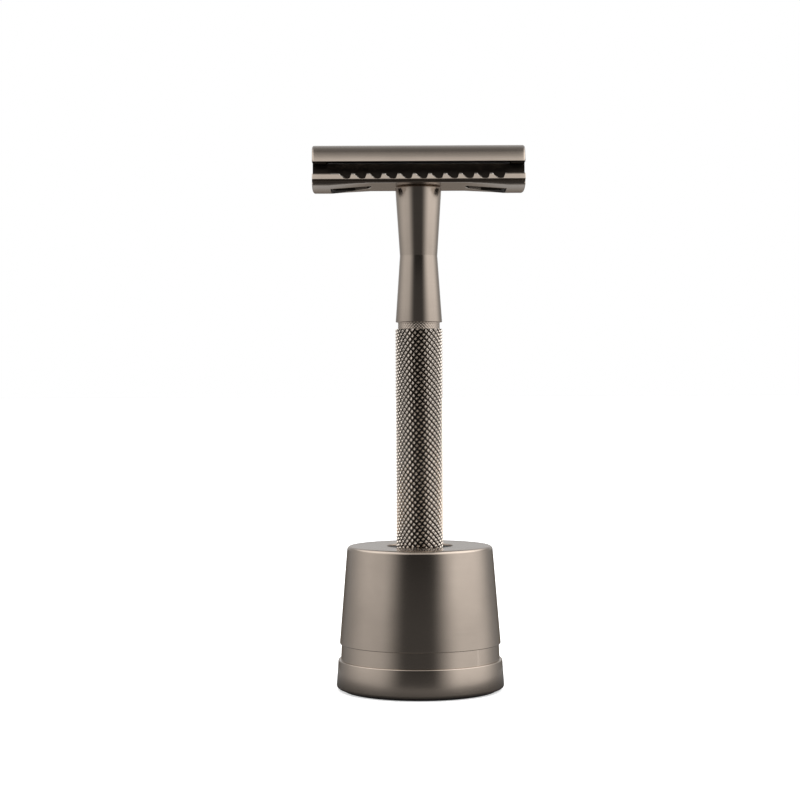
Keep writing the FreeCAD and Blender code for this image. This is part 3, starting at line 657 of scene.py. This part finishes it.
sections = [(-21.75, guard_ring(-21.75, 0.16)), (-21.70, guard_ring(-21.7, 0.06)), (-21.6001, guard_ring(-21.601, 0.0)), (-21.6, guard_ring(-21.6, 0.0))]
sections += [(x, guard_ring(x)) for x in stations()]
sections += [(21.6, guard_ring(21.6, 0.0)), (21.6001, guard_ring(21.601, 0.0)), (21.70, guard_ring(21.7, 0.06)), (21.75, guard_ring(21.75, 0.16))]
bm = loft_x(sections)
bmesh.ops.remove_doubles(bm, verts=bm.verts[:], dist=1e-8)
bow(bm, 18.6, 13.0, 0.33, 22.0, 21.75)
guard = add_object("guard_plate_scalloped", bm, "guard", ["guard_plate"], smooth=28.0)
boolean(guard, cylinder_bm([(0, 0, 2.6, HEAD_Z - 2, HEAD_Z + 7), (12.4, 0, 1.85, HEAD_Z - 2, HEAD_Z + 7), (-12.4, 0, 1.85, HEAD_Z - 2, HEAD_Z + 7)]))
resharpen(guard, 28.0)
paint(guard, mat_guard)
# the bevel along each bar's scallops gets a lighter metal colour, a painted highlight along the rims; the channel
# behind the bars and the pockets under the ends get near-black painted shade
guard.data.materials.append(mat_rim_highlight)
guard.data.materials.append(mat_painted_shade)
for p in guard.data.polygons:
    cy, cz = abs(p.center.y) / MM, p.center.z / MM - HEAD_Z
    cx = abs(p.center.x) / MM
    if cy > 11.0 and cz > 0.56 and 0.42 < p.normal.z < 0.97 and cx < 17.9:
        p.material_index = 1
    elif cz > 0.52 and cy < 10.9 and (cz < 1.0 or p.normal.z < 0.5):
        p.material_index = 2
    elif 13.2 < cx < 18.3 and cy < 5.7 and cz > under(cx, cy) + 0.04:
        p.material_index = 2


# ------------------------------------------------------------------ the cap
def arc(p0, pm, p1, n):
    """n+1 points of the arc through three points."""
    ax, ay = p0
    bx, by = pm
    cx, cy = p1
    d = 2 * (ax * (by - cy) + bx * (cy - ay) + cx * (ay - by))
    ux = ((ax * ax + ay * ay) * (by - cy) + (bx * bx + by * by) * (cy - ay) + (cx * cx + cy * cy) * (ay - by)) / d
    uy = ((ax * ax + ay * ay) * (cx - bx) + (bx * bx + by * by) * (ax - cx) + (cx * cx + cy * cy) * (bx - ax)) / d
    r = math.hypot(ax - ux, ay - uy)
    t0 = math.atan2(ay - uy, ax - ux)
    t1 = math.atan2(cy - uy, cx - ux)
    while t1 - t0 > math.pi:
        t1 -= 2 * math.pi
    while t1 - t0 < -math.pi:
        t1 += 2 * math.pi
    return [(ux + r * math.cos(t0 + (t1 - t0) * k / n), uy + r * math.sin(t0 + (t1 - t0) * k / n)) for k in range(n + 1)]


def cap_section():
    right = [(9.55, 4.2), (10.08, 4.2), (10.17, 4.23)]
    right += [p for p in arc((10.2, 4.32), (9.38, 5.84), (8.0, 7.05), 12)]
    right += [p for p in arc((7.98, 7.068), (5.317, 7.961), (2.5, 8.27), 12)][1:]
    outer = right + [(0.0, 8.27)] + [(-y, z) for y, z in reversed(right)]
    under = [(-8.9, 4.4), (-8.6, 4.8)]
    dome = [(y, 5.95 - y * y / 64.8) for y in (-7.8, -6.6, -5.4, -4.2, -3.0, -1.5, 0, 1.5, 3.0, 4.2, 5.4, 6.6, 7.8)]
    return outer + under + dome + [(8.6, 4.8), (8.9, 4.4)]


CAP = cap_section()
CAP_MID = (0.0, 6.3)


def cap_ring(inset):
    """The section drawn in by inset all round its outside, so that the ends are rounded."""
    out = []
    n = len(CAP)
    for i, (y, z) in enumerate(CAP):
        ya, za = CAP[i - 1]
        yb, zb = CAP[(i + 1) % n]
        ty, tz = yb - ya, zb - za
        length = math.hypot(ty, tz) or 1.0
        ny, nz = tz / length, -ty / length
        # the loop runs +Y lip, crown, -Y lip, underside, so its outside is on the right of the travel
        k = inset if i < n - 17 else 0.0
        out.append((y - ny * k, z - nz * k))
    return [(y, z + HEAD_Z) for y, z in out]


END = 21.775
R_END = 0.42
sections = []
for s in (-1, 1):
    part = []
    for t in (0.0, 0.25, 0.5, 0.75, 1.0):
        a = t * math.pi / 2
        part.append((s * (END - R_END * (1 - math.sin(math.pi / 2 - a))), R_END * (1 - math.cos(math.pi / 2 - a)) if False else R_END * (1 - math.sin(a))))
    # from the end face inwards: inset shrinks as x goes in
    part = [(s * (END - R_END * (1 - math.cos(a))), R_END * (1 - math.sin(a))) for a in [t * math.pi / 2 for t in (0.0, 0.25, 0.5, 0.75, 1.0)]]
    sections.append(part)
left, right = sections
ring_list = [(x, cap_ring(k)) for x, k in left] + [(x, cap_ring(0.0)) for x in [v * 1.0 for v in range(-20, 21)]] + [(x, cap_ring(k)) for x, k in reversed(right)]
bm = loft_x(ring_list)
bow(bm, 18.0, 13.0, 0.41, 22.03, END)
cap = add_object("top_cap_domed", bm, "cap", ["top_cap"], smooth=16.0)
bm = bmesh.new()
for sx in (-1, 1):
    for sy in (-1, 1):
        x0, x1 = sorted((sx * 18.9, sx * 21.6))
        loft_x([(x, [(sy * 8.85, HEAD_Z + 3.75), (sy * 9.84, HEAD_Z + 3.75), (sy * 9.9, HEAD_Z + 3.81), (sy * 9.9, HEAD_Z + 4.3), (sy * 8.85, HEAD_Z + 4.55)]) for x in (x0, x0 + 0.05, x1 - 0.05, x1)], bm)
boolean(cap, cylinder_bm([(0, 0, 2.4, HEAD_Z + 3, HEAD_Z + 7.18), (12.4, 0, 1.71, HEAD_Z + 3, HEAD_Z + 7.18), (-12.4, 0, 1.71, HEAD_Z + 3, HEAD_Z + 7.18)]))
resharpen(cap, 16.0)
paint(cap, mat_head)
# the cap's underside over the blade gets near-black painted shade
cap.data.materials.append(mat_painted_shade)
for p in cap.data.polygons:
    if p.normal.z < -0.5 and abs(p.center.y) < 10.6 * MM:
        p.material_index = 1
# the small lands under the cap's lip at both ends get the same near-black painted shade
lands = add_object("cap_end_lands", bm, "cap", [])
paint(lands, mat_painted_shade)

# ------------------------------------------------------------------ the stud and the pins
Z0 = HEAD_Z - 7.25
bm, rings = thread_bm(2.4, 1.98, 0.8, Z0 + 0.35, HEAD_Z + 1.2)
tip = [bm.verts.new((1.55 * MM * math.cos(2 * math.pi * k / 72), 1.55 * MM * math.sin(2 * math.pi * k / 72), Z0 * MM)) for k in range(72)]
for k in range(72):
    k2 = (k + 1) % 72
    bm.faces.new((tip[k], tip[k2], rings[0][k2], rings[0][k]))
bm.faces.new(list(reversed(tip)))
last = rings[-1]
for r, z in ((2.28, HEAD_Z + 1.45), (2.36, HEAD_Z + 1.6), (2.38, HEAD_Z + 7.15)):
    ring = [bm.verts.new((r * MM * math.cos(2 * math.pi * k / 72), r * MM * math.sin(2 * math.pi * k / 72), z * MM)) for k in range(72)]
    for k in range(72):
        k2 = (k + 1) % 72
        bm.faces.new((last[k], last[k2], ring[k2], ring[k]))
    last = ring
bm.faces.new(last)
o = add_object("cap_stud_threaded", bm, "cap", ["cap_stud"], smooth=40.0)
paint(o, mat_steel)

bm = bmesh.new()
for sx in (-1, 1):
    rings = []
    for r, z in ((1.4, 0.9), (1.62, 0.98), (1.7, 1.2), (1.7, 7.15)):
        rings.append([bm.verts.new(((sx * 12.4 + r * math.cos(2 * math.pi * k / 64)) * MM, r * MM * math.sin(2 * math.pi * k / 64), (z + HEAD_Z) * MM)) for k in range(64)])
    for a, b in zip(rings, rings[1:]):
        for k in range(64):
            k2 = (k + 1) % 64
            bm.faces.new((a[k], a[k2], b[k2], b[k]))
    bm.faces.new(list(reversed(rings[0])))
    bm.faces.new(rings[-1])
o = add_object("alignment_pins_turned", bm, "cap", ["alignment_pins"], smooth=40.0)
paint(o, mat_steel)


# ------------------------------------------------------------------ the blade
def blade_outline():
    e, t, c = 37.1 / 2, 42.8 / 2, 6.8
    pts = []
    quad = [(e, 10.7), (e, 8.2), (e - 0.5, 7.8), (e - 0.5, c), (t - 0.6, c), (t - 0.18, c - 0.18), (t, c - 0.6)]
    pts += quad
    pts += [(x, -y) for x, y in reversed(quad)]
    pts += [(-x, -y) for x, y in quad]
    pts += [(-x, y) for x, y in reversed(quad)]
    return pts


def inside_cut(x, y):
    return False


def blade_hole():
    """One closed outline of the centre slot with its round hole, notches and diamonds, upper half then mirrored."""
    up = [(17.75, 0.0), (17.3, 0.62), (17.05, 1.15), (16.8, 0.62), (15.0, 0.62)]
    up += [(12.85, 2.75), (12.4, 2.9), (11.95, 2.75), (9.8, 0.62), (9.15, 0.62), (9.0, 1.2)]
    up += [(9.0, 2.15), (8.78, 2.62), (8.2, 2.8), (7.62, 2.62), (7.4, 2.15), (7.4, 1.2), (7.25, 0.62)]
    r = 2.65
    a0 = math.asin(0.62 / r)
    up += [(r * math.cos(a), r * math.sin(a)) for a in [a0 + (math.pi - 2 * a0) * k / 20 for k in range(21)]]
    left = [(-x, y) for x, y in reversed(up[:18])]
    top = up + left
    return top + [(x, -y) for x, y in reversed(top[1:-1])]


bm = bmesh.new()
out = [bm.verts.new((x * MM, y * MM, 0)) for x, y in blade_outline()]
hole = [bm.verts.new((x * MM, y * MM, 0)) for x, y in blade_hole()]
edges = []
for ring in (out, hole):
    for k in range(len(ring)):
        edges.append(bm.edges.new((ring[k], ring[(k + 1) % len(ring)])))
bmesh.ops.triangle_fill(bm, edges=edges, use_beauty=True)
levels = [v * 0.5 for v in range(-20, 21)] + [10.25, -10.25, 10.5, -10.5]
for y in sorted(levels):
    bmesh.ops.bisect_plane(bm, geom=bm.verts[:] + bm.edges[:] + bm.faces[:], dist=1e-8, plane_co=(0, y * MM, 0), plane_no=(0, 1, 0))
top = bm.faces[:]
for f in top:
    if f.normal.z < 0:
        f.normal_flip()
ret = bmesh.ops.extrude_face_region(bm, geom=top, use_keep_orig=True)
moved = {v for v in ret["geom"] if isinstance(v, bmesh.types.BMVert)}
CROWN = HEAD_Z + 5.55
for v in bm.verts:
    y = v.co.y / MM
    ay = abs(y)
    half = 0.05
    if ay > 10.0:
        half = 0.05 - 0.042 * (ay - 10.0) / 0.7
    z = CROWN - y * y / 62.0
    slope = -2 * y / 62.0
    n = Vector((0, -slope, 1)).normalized()
    s = 1 if v in moved else -1
    v.co.z = (z + s * half * n.z) * MM
    v.co.y = (y + s * half * n.y * (1 if ay < 10.0 else 0)) * MM
o = add_object("razor_blade_ground", bm, "blade", ["razor_blade"], smooth=20.0)
paint(o, mat_blade)

# ------------------------------------------------------------------ CAD nodes that stay
paint(NODES["socket_pad"], mat_felt)
paint(NODES["ballast_weight"], mat_ballast)
paint(NODES["bottom_plate"], mat_steel)
paint(NODES["base_screws"], mat_steel)
paint(NODES["core_rod"], mat_steel)
paint(NODES["end_seal"], mat_rubber)
paint(NODES["threaded_bush"], mat_brass)

# ------------------------------------------------------------------ floor, light, camera
mesh = bpy.data.meshes.new("floor")
s = 6.0
mesh.from_pydata([(-s, -s, 0), (s, -s, 0), (s, s, 0), (-s, s, 0)], [], [(0, 1, 2, 3)])
floor = bpy.data.objects.new("floor", mesh)
bpy.context.scene.collection.objects.link(floor)
fmat, nt, b = new_mat("pale_floor")
b.inputs["Base Color"].default_value = (0.92, 0.92, 0.92, 1)
b.inputs["Roughness"].default_value = 0.7
b.inputs["Specular IOR Level"].default_value = 0.2
b.inputs["Emission Color"].default_value = (1, 1, 1, 1)
b.inputs["Emission Strength"].default_value = 0.55
floor.data.materials.append(fmat)
floor.visible_glossy = False

world = bpy.data.worlds.new("studio")
bpy.context.scene.world = world
world.use_nodes = True
nt = world.node_tree
nt.nodes.clear()


def calc(op, a, b=None, c=None):
    m = nt.nodes.new("ShaderNodeMath")
    m.operation = op
    for k, v in enumerate((a, b, c)):
        if v is None:
            continue
        if isinstance(v, (int, float)):
            m.inputs[k].default_value = v
        else:
            nt.links.new(v, m.inputs[k])
    return m.outputs[0]


def by_angle(value, stops, lo, hi):
    """A ramp over an angle in degrees: stops are (degrees, radiance or colour)."""
    r = nt.nodes.new("ShaderNodeValToRGB")
    r.color_ramp.interpolation = "EASE"
    m = nt.nodes.new("ShaderNodeMapRange")
    m.inputs["From Min"].default_value = lo
    m.inputs["From Max"].default_value = hi
    nt.links.new(value, m.inputs["Value"])
    nt.links.new(m.outputs[0], r.inputs[0])
    cells = r.color_ramp.elements
    for k, (deg, c) in enumerate(stops):
        c = (c, c, c) if isinstance(c, (int, float)) else c
        pos = (deg - lo) / (hi - lo)
        e = cells[0] if k == 0 else cells[-1] if k == len(stops) - 1 else cells.new(pos)
        e.position = pos
        e.color = (*c, 1)
    return r.outputs[0]


def blend_col(fac, a, b):
    m = nt.nodes.new("ShaderNodeMix")
    m.data_type = "RGBA"
    nt.links.new(fac, m.inputs[0])
    nt.links.new(a, m.inputs[6])
    nt.links.new(b, m.inputs[7])
    return m.outputs[2]


sep = nt.nodes.new("ShaderNodeSeparateXYZ")
nt.links.new(nt.nodes.new("ShaderNodeTexCoord").outputs["Generated"], sep.inputs[0])
deg = 180 / math.pi
az = calc("MULTIPLY", calc("ARCTAN2", sep.outputs["X"], calc("MULTIPLY", sep.outputs["Y"], -1.0)), deg)
el = calc("MULTIPLY", calc("ARCSINE", sep.outputs["Z"]), deg)
# elevation measured over the top from the front horizon (0) to the back one (180)
front = calc("MULTIPLY", calc("ARCTAN2", sep.outputs["Z"], calc("MULTIPLY", sep.outputs["Y"], -1.0)), deg)
# a soft box on the left, a brighter one on the right, dark between them, a dim grey wall behind
low = by_angle(az, [
    (-180, 0.6), (-145, 0.4), (-85, 0.85), (-62, 0.8), (-22, 0.08), (15, 0.08), (60, 1.2), (90, 1.2), (140, 0.4), (180, 0.6),
], -180, 180)
high = by_angle(front, [
    (0, (0.03, 0.024, 0.02)), (24, 0.04), (36, 0.80), (46, 1.0), (58, 0.78), (72, 0.50), (88, 0.33), (102, 0.17), (126, 0.24), (160, 0.34), (180, 0.7),
], 0, 180)
below = by_angle(az, [
    (-180, 0.50), (-140, 0.45), (-105, 0.62), (-80, 0.70), (-58, 0.50), (-40, 0.20), (-20, 0.12), (15, 0.12), (30, 0.24), (45, 0.60),
    (68, 0.98), (95, 0.85), (120, 0.55), (145, 0.45), (180, 0.50),
], -180, 180)
side = by_angle(az, [(-180, 0.8), (-90, 1.8), (-50, 1.4), (0, 1.0), (50, 1.8), (90, 2.4), (180, 0.9)], -180, 180)


# the horizon band: dimmer below the horizon, darkest just under it at the back, and blacker just above it in front
turn = calc("ABSOLUTE", az)
sides = by_angle(el, [(-4, 0.80), (4, 1.0)], -4, 4)
rear = by_angle(el, [
    (-9, (0.40, 0.34, 0.28)), (-5, (0.24, 0.20, 0.165)), (-1, (0.34, 0.30, 0.26)), (3, (1.0, 1.0, 1.0)),
], -9, 3)
fore = by_angle(el, [(-4, 1.0), (4, 1.0), (10, 0.35)], -4, 10)
shade = blend_col(by_angle(turn, [(135, 0.0), (165, 1.0)], 135, 165), sides, rear)
shade = blend_col(by_angle(turn, [(16, 1.0), (40, 0.0)], 16, 40), shade, fore)
dim = nt.nodes.new("ShaderNodeMix")
dim.data_type = "RGBA"
dim.blend_type = "MULTIPLY"
dim.inputs[0].default_value = 1.0
nt.links.new(low, dim.inputs[6])
nt.links.new(shade, dim.inputs[7])
up = by_angle(el, [(20, 0.0), (36, 1.0)], 20, 36)
down = by_angle(el, [(-22, 1.0), (-8, 0.0)], -22, -8)
foot = by_angle(el, [(-46, 0.10), (-30, 1.0)], -46, -30)
aside = by_angle(calc("MULTIPLY", calc("ABSOLUTE", sep.outputs["X"]), 100.0), [(18, 0.0), (42, 1.0)], 18, 42)
over = blend_col(aside, high, side)
sky = blend_col(up, dim.outputs[2], over)
under_sky = nt.nodes.new("ShaderNodeMix")
under_sky.data_type = "RGBA"
under_sky.blend_type = "MULTIPLY"
under_sky.inputs[0].default_value = 1.0
nt.links.new(below, under_sky.inputs[6])
nt.links.new(foot, under_sky.inputs[7])
sky = blend_col(down, sky, under_sky.outputs[2])
bg = nt.nodes.new("ShaderNodeBackground")
nt.links.new(sky, bg.inputs["Color"])
bg2 = nt.nodes.new("ShaderNodeBackground")
bg2.inputs["Color"].default_value = (1, 1, 1, 1)
lp = nt.nodes.new("ShaderNodeLightPath")
mx = nt.nodes.new("ShaderNodeMixShader")
out = nt.nodes.new("ShaderNodeOutputWorld")
nt.links.new(lp.outputs["Is Camera Ray"], mx.inputs[0])
nt.links.new(bg.outputs[0], mx.inputs[1])
nt.links.new(bg2.outputs[0], mx.inputs[2])
nt.links.new(mx.outputs[0], out.inputs[0])


def softbox(name, azimuth, elevation, distance, size, power, color=(1, 1, 1), target=(0, 0, 0.06)):
    """azimuth 0 is the camera's side, positive to the right."""
    light = bpy.data.lights.new(name, "AREA")
    light.shape = "RECTANGLE"
    light.size, light.size_y = size
    light.energy = power
    light.color = color
    ob = bpy.data.objects.new(name, light)
    a, e = math.radians(azimuth), math.radians(elevation)
    d = Vector((math.sin(a) * math.cos(e), -math.cos(a) * math.cos(e), math.sin(e)))
    ob.location = Vector(target) + d * distance
    ob.rotation_mode = "QUATERNION"
    ob.rotation_quaternion = d.to_track_quat("Z", "Y")
    ob.visible_camera = False
    ob.visible_glossy = False
    bpy.context.scene.collection.objects.link(ob)
    return ob


softbox("softbox_overhead", 0, 80, 0.9, (0.9, 0.9), 3.0)

# a glowing disc seen only in the metal: a painted reflection of the floor, with painted shadow round the foot that
# brightens outwards
card = bmesh.new()
bmesh.ops.create_circle(card, cap_ends=True, radius=0.05, segments=96)
mesh = bpy.data.meshes.new("foot_card")
card.to_mesh(mesh)
card.free()
card = bpy.data.objects.new("foot_card", mesh)
card.location = (0, 0, 0.0002)
bpy.context.scene.collection.objects.link(card)
cmat, cnt, cb = new_mat("shaded_floor")
ctc = cnt.nodes.new("ShaderNodeTexCoord").outputs["Object"]
cl = cnt.nodes.new("ShaderNodeVectorMath")
cl.operation = "LENGTH"
cnt.links.new(ctc, cl.inputs[0])
cb.inputs["Base Color"].default_value = (0.05, 0.05, 0.05, 1)
cb.inputs["Roughness"].default_value = 1.0
cb.inputs["Emission Color"].default_value = (1, 1, 1, 1)
cnt.links.new(to_range(cnt, cl.outputs["Value"], 0.01, 0.22, 0.018, 0.048), cb.inputs["Emission Strength"])
card.data.materials.append(cmat)
card.visible_camera = False
card.visible_diffuse = False
card.visible_shadow = False

cam_data = bpy.data.cameras.new("camera")
cam_data.sensor_width = 36.0
cam_data.lens = 90.0
cam_data.shift_y = -0.0275
cam_data.clip_start = 0.01
cam_data.clip_end = 50
cam = bpy.data.objects.new("camera", cam_data)
cam.location = (-0.0040, -0.418, 0.065)
cam.rotation_euler = (math.radians(90), math.radians(0.25), 0)
bpy.context.scene.collection.objects.link(cam)
bpy.context.scene.camera = cam
bpy.context.scene.view_settings.view_transform = "Standard"
